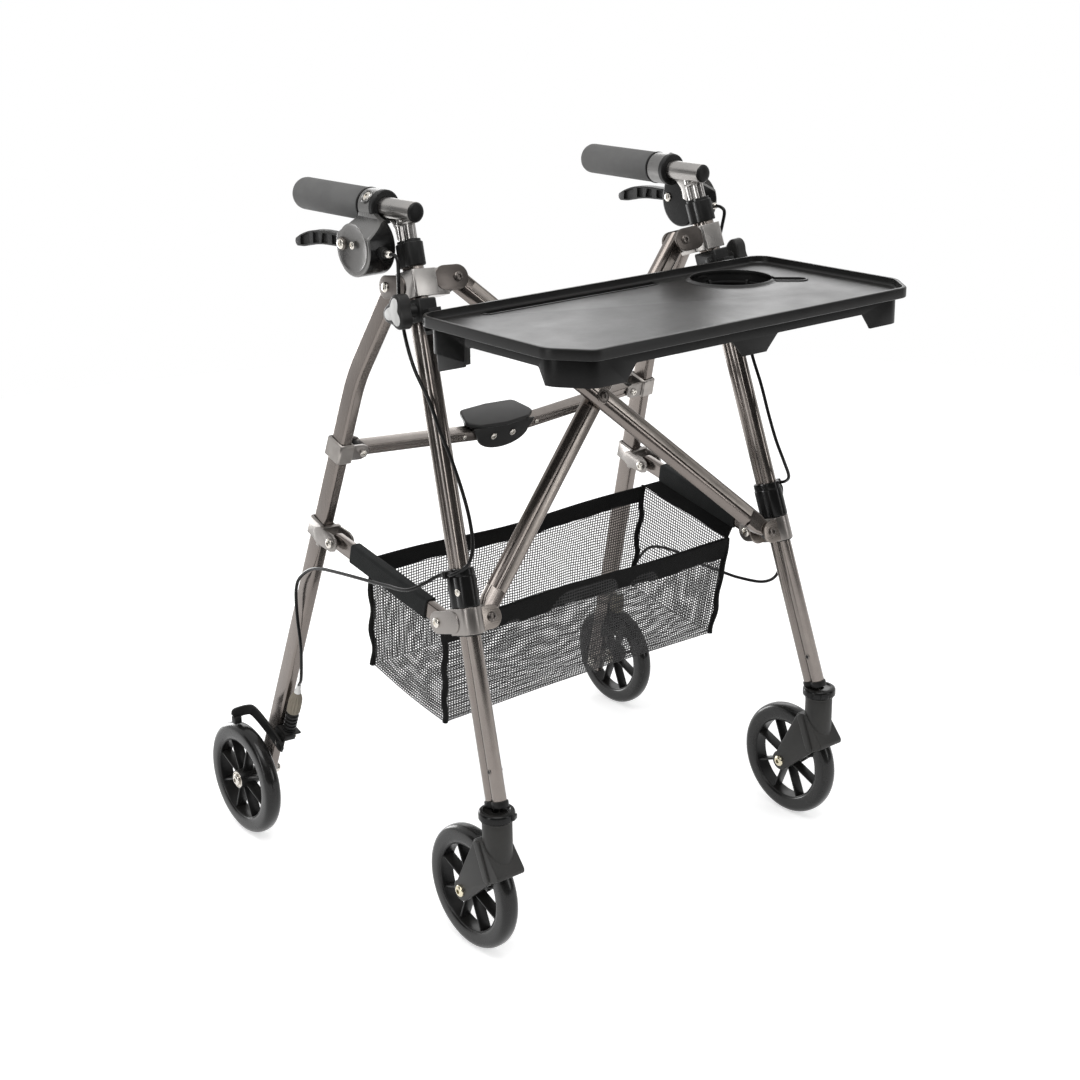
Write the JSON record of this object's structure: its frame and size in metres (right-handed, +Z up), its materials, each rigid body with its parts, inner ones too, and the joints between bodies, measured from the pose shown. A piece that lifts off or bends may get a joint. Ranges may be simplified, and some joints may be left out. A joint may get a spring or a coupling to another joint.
{
  "type": "rollator",
  "caption": "Indoor rollator with a lift-off tray, a mesh basket, loop brakes and a frame that folds sideways.",
  "frame": {"origin": "on the floor, under the middle of the object's box", "axes": "+Z up, +Y towards the user, so the rollator walks towards -Y and the user's right is at -X"},
  "size_m": [0.647, 0.654, 0.812],
  "materials": {
    "graphite_metal": "satin",
    "bare_bracket": "satin",
    "dark_chrome": "polished",
    "charcoal_plastic": "satin",
    "black_plastic": "matte",
    "tyre_black": "gloss",
    "foam_grey": "matte",
    "steel": "satin",
    "mesh_fabric": "matte"
  },
  "bodies": {
    "frame_right": {"front_leg_right": "graphite_metal", "top_bracket_right": "graphite_metal", "collar_top_right": "black_plastic", "collar_middle_right": "black_plastic", "collar_foot_right": "black_plastic", "tray_clamp_right": "black_plastic"},
    "handle_right": {"handle_post_right": "dark_chrome", "grip_right": "foam_grey", "brake_housing_right": "charcoal_plastic", "cable_upper_right": "black_plastic"},
    "lever_right": {"brake_lever_right": "charcoal_plastic"},
    "knob_right": {"knob_right": "charcoal_plastic"},
    "height_button_right": {"height_button_right": "steel"},
    "rear_leg_right": {"rear_leg_right": "graphite_metal", "crossbar_clamp_right": "graphite_metal", "link_clamp_right": "graphite_metal", "brake_bracket_right": "black_plastic", "cable_lower_right": "black_plastic"},
    "brake_arm_right": {"brake_arm_right": "black_plastic"},
    "rear_wheel_right": {"rear_tyre_right": "tyre_black", "rear_rim_right": "black_plastic"},
    "caster_right": {"caster_fork_right": "charcoal_plastic"},
    "front_wheel_right": {"front_tyre_right": "tyre_black", "front_rim_right": "black_plastic"},
    "slider_right": {"slider_bracket_right": "graphite_metal"},
    "side_link_right": {"side_link_right": "graphite_metal", "basket": "mesh_fabric"},
    "crossbar_right": {"crossbar_right": "graphite_metal"},
    "frame_left": {"front_leg_left": "graphite_metal", "top_bracket_left": "graphite_metal", "collar_top_left": "black_plastic", "collar_middle_left": "black_plastic", "collar_foot_left": "black_plastic", "tray_clamp_left": "black_plastic"},
    "handle_left": {"handle_post_left": "dark_chrome", "grip_left": "foam_grey", "brake_housing_left": "charcoal_plastic", "cable_upper_left": "black_plastic"},
    "lever_left": {"brake_lever_left": "charcoal_plastic"},
    "knob_left": {"knob_left": "charcoal_plastic"},
    "height_button_left": {"height_button_left": "steel"},
    "rear_leg_left": {"rear_leg_left": "graphite_metal", "crossbar_clamp_left": "graphite_metal", "link_clamp_left": "graphite_metal", "brake_bracket_left": "black_plastic", "cable_lower_left": "black_plastic"},
    "brake_arm_left": {"brake_arm_left": "black_plastic"},
    "rear_wheel_left": {"rear_tyre_left": "tyre_black", "rear_rim_left": "black_plastic"},
    "caster_left": {"caster_fork_left": "charcoal_plastic"},
    "front_wheel_left": {"front_tyre_left": "tyre_black", "front_rim_left": "black_plastic"},
    "slider_left": {"slider_bracket_left": "graphite_metal"},
    "side_link_left": {"side_link_left": "graphite_metal"},
    "crossbar_left": {"crossbar_left": "graphite_metal"},
    "brace_front": {"brace_arm_front": "graphite_metal"},
    "brace_rear": {"brace_arm_rear": "graphite_metal"},
    "hub": {"crossbar_hub": "charcoal_plastic"},
    "tray": {"tray": "charcoal_plastic"}
  },
  "joints": [
    {"name": "fold", "type": "hinge", "parent": "frame_right", "child": "brace_front", "pos_m": [-0.1644, -0.02371, 0.71944], "axis": [0, 0.9556, -0.2948], "range_deg": [0, 34], "deforming": ["basket", "cable_lower_right", "cable_lower_left"]},
    {"name": "brace_cross", "type": "hinge", "parent": "brace_front", "child": "brace_rear", "pos_m": [0, -0.07014, 0.56895], "axis": [0, 0.9556, -0.2948], "range_deg": [-59.42, 0]},
    {"name": "frame_fold", "type": "hinge", "parent": "brace_rear", "child": "frame_left", "pos_m": [0.1644, -0.02371, 0.71944], "axis": [0, 0.9556, -0.2948], "range_deg": [0, 34.14]},
    {"name": "slider_right", "type": "hinge", "parent": "brace_rear", "child": "slider_right", "pos_m": [-0.2116, -0.12989, 0.37525], "axis": [0, 0.9556, -0.2948], "range_deg": [0, 25.29]},
    {"name": "slider_left", "type": "hinge", "parent": "brace_front", "child": "slider_left", "pos_m": [0.2116, -0.12989, 0.37525], "axis": [0, 0.9556, -0.2948], "range_deg": [-25.29, 0]},
    {"name": "rear_leg_fold_right", "type": "hinge", "parent": "frame_right", "child": "rear_leg_right", "pos_m": [-0.21072, 0.01397, 0.712], "axis": [0.998, -0.0184, -0.0598], "range_deg": [-19.44, 0]},
    {"name": "side_link_right", "type": "hinge", "parent": "slider_right", "child": "side_link_right", "pos_m": [-0.23345, -0.08954, 0.36458], "axis": [0.998, -0.0184, -0.0598], "range_deg": [0, 39.91]},
    {"name": "crossbar_fold_right", "type": "hinge", "parent": "rear_leg_right", "child": "crossbar_right", "pos_m": [-0.20636, 0.11429, 0.51096], "axis": [0, 0.9499, 0.3125], "range_deg": [-68.27, 0]},
    {"name": "handle_height_right", "type": "slide", "parent": "frame_right", "child": "handle_right", "axis": [0.0626, 0.2942, 0.9537], "range_m": [0, 0.127], "deforming": ["cable_upper_right"]},
    {"name": "brake_lever_right", "type": "hinge", "parent": "handle_right", "child": "lever_right", "pos_m": [-0.23531, 0.05098, 0.7583], "axis": [0.9997, 0.0255, 0], "range_deg": [0, 13], "stiffness_Nm_per_rad": 0.8, "springref_deg": -8.59},
    {"name": "brake_shoe_right", "type": "hinge", "parent": "rear_leg_right", "child": "brake_arm_right", "pos_m": [-0.27992, 0.21147, 0.12822], "axis": [0.9959, 0.0284, -0.0864], "range_deg": [-2.05, 0]},
    {"name": "caster_swivel_right", "type": "hinge", "parent": "frame_right", "child": "caster_right", "pos_m": [-0.2494, -0.1925, 0.1725], "axis": [0, 0, 1], "continuous": true},
    {"name": "front_wheel_right", "type": "hinge", "parent": "caster_right", "child": "front_wheel_right", "pos_m": [-0.2494, -0.1465, 0.0715], "axis": [1, 0, 0], "continuous": true},
    {"name": "rear_wheel_right", "type": "hinge", "parent": "rear_leg_right", "child": "rear_wheel_right", "pos_m": [-0.3047, 0.2555, 0.0715], "axis": [1, 0, 0], "continuous": true},
    {"name": "knob_turn_right", "type": "hinge", "parent": "frame_right", "child": "knob_right", "pos_m": [-0.21276, -0.03967, 0.6945], "axis": [0.998, -0.0184, -0.0598], "continuous": true},
    {"name": "height_button_right", "type": "slide", "parent": "frame_right", "child": "height_button_right", "axis": [0, -0.9556, 0.2948], "range_m": [0, 0.002], "stiffness_N_per_m": 600, "springref_m": -0.001},
    {"name": "rear_leg_fold_left", "type": "hinge", "parent": "frame_left", "child": "rear_leg_left", "pos_m": [0.21072, 0.01397, 0.712], "axis": [0.998, 0.0184, 0.0598], "range_deg": [-19.44, 0]},
    {"name": "side_link_left", "type": "hinge", "parent": "slider_left", "child": "side_link_left", "pos_m": [0.23345, -0.08954, 0.36458], "axis": [0.998, 0.0184, 0.0598], "range_deg": [0, 39.91]},
    {"name": "crossbar_fold_left", "type": "hinge", "parent": "rear_leg_left", "child": "crossbar_left", "pos_m": [0.20636, 0.11429, 0.51096], "axis": [0, 0.9499, 0.3125], "range_deg": [0, 68.27]},
    {"name": "handle_height_left", "type": "slide", "parent": "frame_left", "child": "handle_left", "axis": [-0.0626, 0.2942, 0.9537], "range_m": [0, 0.127], "deforming": ["cable_upper_left"]},
    {"name": "brake_lever_left", "type": "hinge", "parent": "handle_left", "child": "lever_left", "pos_m": [0.23531, 0.05098, 0.7583], "axis": [0.9997, -0.0255, 0], "range_deg": [0, 13], "stiffness_Nm_per_rad": 0.8, "springref_deg": -8.59},
    {"name": "brake_shoe_left", "type": "hinge", "parent": "rear_leg_left", "child": "brake_arm_left", "pos_m": [0.27992, 0.21147, 0.12822], "axis": [0.9959, -0.0284, 0.0864], "range_deg": [-2.05, 0]},
    {"name": "caster_swivel_left", "type": "hinge", "parent": "frame_left", "child": "caster_left", "pos_m": [0.2494, -0.1925, 0.1725], "axis": [0, 0, 1], "continuous": true},
    {"name": "front_wheel_left", "type": "hinge", "parent": "caster_left", "child": "front_wheel_left", "pos_m": [0.2494, -0.1465, 0.0715], "axis": [1, 0, 0], "continuous": true},
    {"name": "rear_wheel_left", "type": "hinge", "parent": "rear_leg_left", "child": "rear_wheel_left", "pos_m": [0.3047, 0.2555, 0.0715], "axis": [1, 0, 0], "continuous": true},
    {"name": "knob_turn_left", "type": "hinge", "parent": "frame_left", "child": "knob_left", "pos_m": [0.21276, -0.03967, 0.6945], "axis": [0.998, 0.0184, 0.0598], "continuous": true},
    {"name": "height_button_left", "type": "slide", "parent": "frame_left", "child": "height_button_left", "axis": [0, -0.9556, 0.2948], "range_m": [0, 0.002], "stiffness_N_per_m": 600, "springref_m": -0.001},
    {"name": "hub_level", "type": "hinge", "parent": "crossbar_right", "child": "hub", "pos_m": [-0.0144, 0.1201, 0.49329], "axis": [0, 0.9499, 0.3125], "range_deg": [0, 72.68]},
    {"name": "tray_lift", "type": "slide", "parent": "frame_right", "child": "tray", "axis": [0, 0.2948, 0.9556], "range_m": [0, 0.05]}
  ],
  "couplings": [
    {"joint": "brace_cross", "follows": "fold", "ratio": -1.7408},
    {"joint": "frame_fold", "follows": "fold", "ratio": 1},
    {"joint": "slider_right", "follows": "fold", "ratio": 0.7408},
    {"joint": "slider_left", "follows": "fold", "ratio": -0.7408},
    {"joint": "rear_leg_fold_right", "follows": "fold", "ratio": -0.5694},
    {"joint": "side_link_right", "follows": "fold", "ratio": 1.1692},
    {"joint": "crossbar_fold_right", "follows": "fold", "ratio": -2},
    {"joint": "brake_shoe_right", "follows": "brake_lever_right", "ratio": -0.15385},
    {"joint": "rear_leg_fold_left", "follows": "fold", "ratio": -0.5694},
    {"joint": "side_link_left", "follows": "fold", "ratio": 1.1692},
    {"joint": "crossbar_fold_left", "follows": "fold", "ratio": 2},
    {"joint": "brake_shoe_left", "follows": "brake_lever_left", "ratio": -0.15385},
    {"joint": "hub_level", "follows": "fold", "ratio": 2.129}
  ]
}
